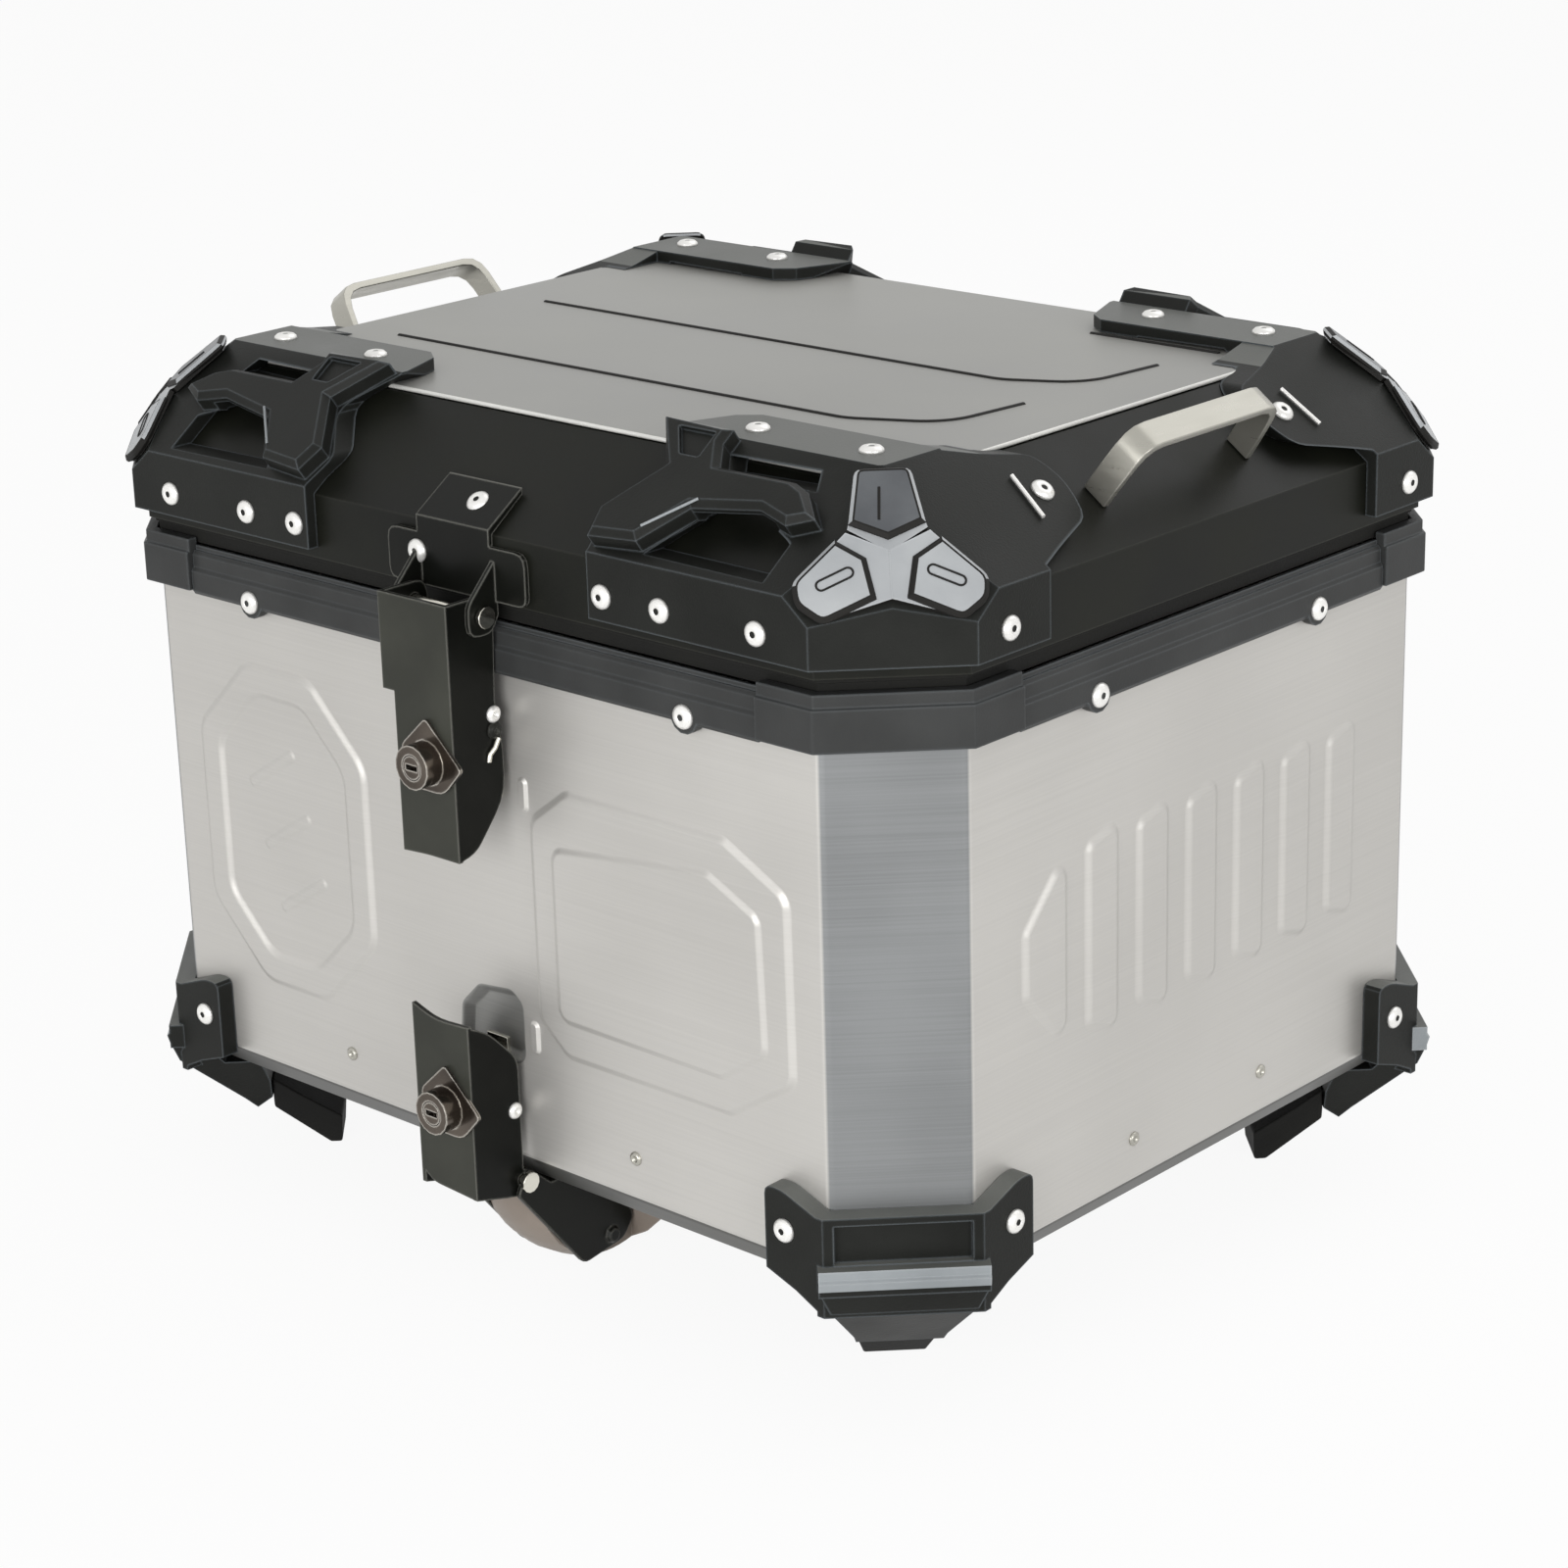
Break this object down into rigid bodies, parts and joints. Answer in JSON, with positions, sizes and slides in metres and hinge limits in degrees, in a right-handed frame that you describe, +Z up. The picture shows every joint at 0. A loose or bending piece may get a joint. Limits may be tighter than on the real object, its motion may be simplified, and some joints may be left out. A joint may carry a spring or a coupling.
{
  "type": "top case",
  "caption": "Octagonal aluminium motorcycle top case with a hinged black lid, moulded corner guards with tie-down bars, strap handles and keyed latches.",
  "frame": {"origin": "middle of the footprint of the whole case, on the floor under the foot pads", "axes": "+Z up, the latched front faces -Y, +X to the right seen from the front"},
  "size_m": [0.4458, 0.391, 0.3478],
  "materials": {
    "body_aluminium": "fine brushed, satin",
    "panel_aluminium": "fine brushed, satin, a little darker",
    "lid_paint": "satin black powder coat",
    "black_plastic": "fine grained moulding",
    "trim_tile": "satin silver lacquer",
    "rubber": "matt",
    "black_steel": "black powder coat, slightly glossy",
    "dish_cover": "satin",
    "polished_steel": "polished"
  },
  "bodies": {
    "case_body": {"body_shell": "body_aluminium", "floor_mat": "rubber", "rim_strip_rear": "black_plastic", "rim_strip_front": "black_plastic", "rim_strip_left": "black_plastic", "rim_strip_right": "black_plastic", "rim_corner_front_right": "black_plastic", "rim_corner_front_left": "black_plastic", "rim_corner_rear_right": "black_plastic", "rim_corner_rear_left": "black_plastic", "lower_guard_front_right": "black_plastic", "lower_guard_front_left": "black_plastic", "lower_guard_rear_right": "black_plastic", "lower_guard_rear_left": "black_plastic", "foot_pad_front_right": "rubber", "foot_pad_front_left": "rubber", "foot_pad_rear_right": "rubber", "foot_pad_rear_left": "rubber", "lower_bracket": "black_steel", "lower_latch_pin": "polished_steel", "release_dish": "dish_cover", "upper_striker": "polished_steel", "lower_striker": "polished_steel", "hinge_leaf_body": "black_steel", "hinge_pin": "polished_steel"},
    "lid": {"lid_shell": "lid_paint", "top_panel": "panel_aluminium", "lid_seal": "rubber", "upper_guard_front_right": "black_plastic", "upper_guard_front_left": "black_plastic", "upper_guard_rear_right": "black_plastic", "upper_guard_rear_left": "black_plastic", "corner_trim_front_right": "trim_tile", "corner_trim_front_left": "trim_tile", "corner_trim_rear_right": "trim_tile", "corner_trim_rear_left": "trim_tile", "handle_right": "polished_steel", "handle_left": "polished_steel", "hinge_leaf_lid": "black_steel", "upper_bracket": "black_steel", "upper_latch_pin": "polished_steel"},
    "upper_hasp": {"upper_hasp": "black_steel", "upper_lock_barrel": "polished_steel"},
    "upper_lock": {"upper_lock_plug": "polished_steel"},
    "lower_hasp": {"lower_hasp": "black_steel", "lower_lock_barrel": "polished_steel"},
    "lower_lock": {"lower_lock_plug": "polished_steel"}
  },
  "joints": [
    {"name": "lid_hinge", "type": "hinge", "parent": "case_body", "child": "lid", "pos_m": [0, 0.19101, 0.2748], "axis": [-1, 0, 0], "range_deg": [0, 95]},
    {"name": "upper_hasp_hinge", "type": "hinge", "parent": "lid", "child": "upper_hasp", "pos_m": [0.004, -0.16999, 0.2758], "axis": [-1, 0, 0], "range_deg": [0, 80]},
    {"name": "upper_key", "type": "hinge", "parent": "upper_hasp", "child": "upper_lock", "pos_m": [0.0096, -0.18599, 0.2223], "axis": [0, -1, 0], "range_deg": [0, 90]},
    {"name": "lower_hasp_hinge", "type": "hinge", "parent": "case_body", "child": "lower_hasp", "pos_m": [0.006, -0.16189, 0.0504], "axis": [1, 0, 0], "range_deg": [0, 85]},
    {"name": "lower_key", "type": "hinge", "parent": "lower_hasp", "child": "lower_lock", "pos_m": [0.0088, -0.18599, 0.0858], "axis": [0, 1, 0], "range_deg": [0, 90]}
  ]
}
